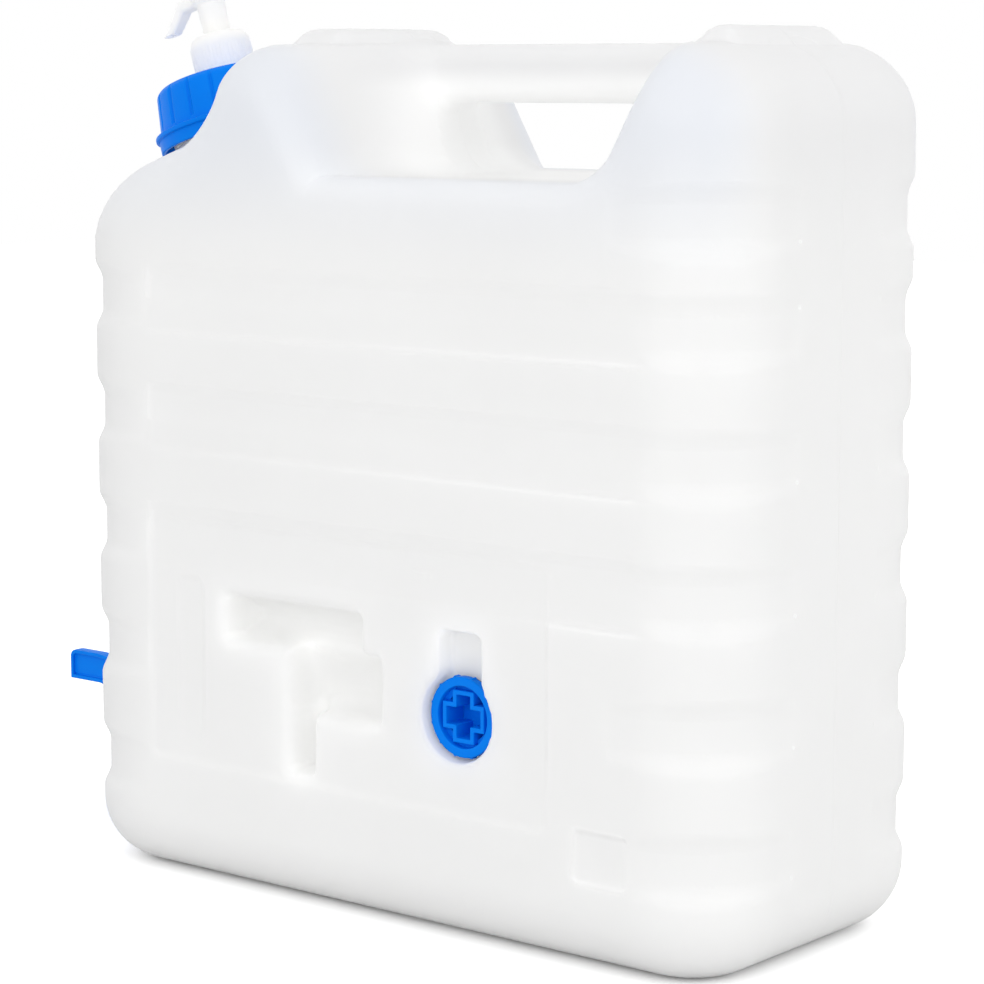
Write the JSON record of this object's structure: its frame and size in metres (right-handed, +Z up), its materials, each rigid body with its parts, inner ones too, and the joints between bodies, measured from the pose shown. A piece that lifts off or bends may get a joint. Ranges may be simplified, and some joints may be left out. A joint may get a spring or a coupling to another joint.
{
  "type": "water canister with tap and soap pump",
  "caption": "Tall blow-moulded water canister with a carry handle, screw cap with a soap pump, a drain tap, and face pockets for tap and plug.",
  "frame": {"origin": "middle of the base, on the surface that the canister stands on", "axes": "+X along the large faces away from the tap, -Y out of the face with the pockets, +Z up"},
  "size_m": [0.456, 0.168, 0.4069],
  "materials": {
    "natural_plastic": "satin natural polyethylene, milky",
    "blue_plastic": "moulded, soft gloss",
    "white_plastic": "moulded, soft gloss",
    "seal_rubber": "plain",
    "spring_steel": "drawn wire"
  },
  "bodies": {
    "canister": {"canister_body": "natural_plastic"},
    "soap_insert": {"soap_bottle": "white_plastic", "cap_gasket": "seal_rubber", "pump_housing": "white_plastic", "pump_gasket": "seal_rubber", "pump_ball": "spring_steel", "pump_spring": "spring_steel", "dip_tube": "white_plastic"},
    "cap": {"screw_cap": "blue_plastic"},
    "collar": {"pump_collar": "white_plastic"},
    "plunger": {"pump_stem": "white_plastic", "pump_piston": "white_plastic"},
    "pump_head": {"pump_head": "white_plastic"},
    "tap": {"tap_body": "blue_plastic", "tap_gasket": "seal_rubber"},
    "tap_valve": {"tap_plug": "white_plastic", "tap_lever": "blue_plastic", "tap_seal_upper": "seal_rubber", "tap_seal_lower": "seal_rubber", "tap_clip": "blue_plastic"},
    "stowed_plug": {"drain_plug": "blue_plastic", "drain_plug_gasket": "seal_rubber"}
  },
  "joints": [
    {"name": "cap_lift", "type": "slide", "parent": "canister", "child": "soap_insert", "axis": [-0.2924, 0, 0.9563], "range_m": [0, 0.11]},
    {"name": "cap_turn", "type": "hinge", "parent": "soap_insert", "child": "cap", "pos_m": [-0.151, 0, 0.3415], "axis": [-0.2924, 0, 0.9563], "continuous": true},
    {"name": "collar_turn", "type": "hinge", "parent": "soap_insert", "child": "collar", "pos_m": [-0.151, 0, 0.3415], "axis": [-0.2924, 0, 0.9563], "continuous": true},
    {"name": "pump_press", "type": "slide", "parent": "soap_insert", "child": "plunger", "axis": [0.2924, 0, -0.9563], "range_m": [0, 0.014], "stiffness_N_per_m": 300, "springref_m": -0.004, "deforming": ["pump_spring"]},
    {"name": "pump_swivel", "type": "hinge", "parent": "plunger", "child": "pump_head", "pos_m": [-0.151, 0, 0.3415], "axis": [-0.2924, 0, 0.9563], "continuous": true},
    {"name": "tap_turn", "type": "hinge", "parent": "canister", "child": "tap", "pos_m": [-0.1855, 0, 0.045], "axis": [-1, 0, 0], "continuous": true},
    {"name": "tap_open", "type": "hinge", "parent": "tap", "child": "tap_valve", "pos_m": [-0.23, 0, 0.045], "axis": [0, 0, 1], "range_deg": [0, 90]},
    {"name": "plug_pull", "type": "slide", "parent": "canister", "child": "stowed_plug", "axis": [0, -1, 0], "range_m": [0, 0.04]}
  ]
}
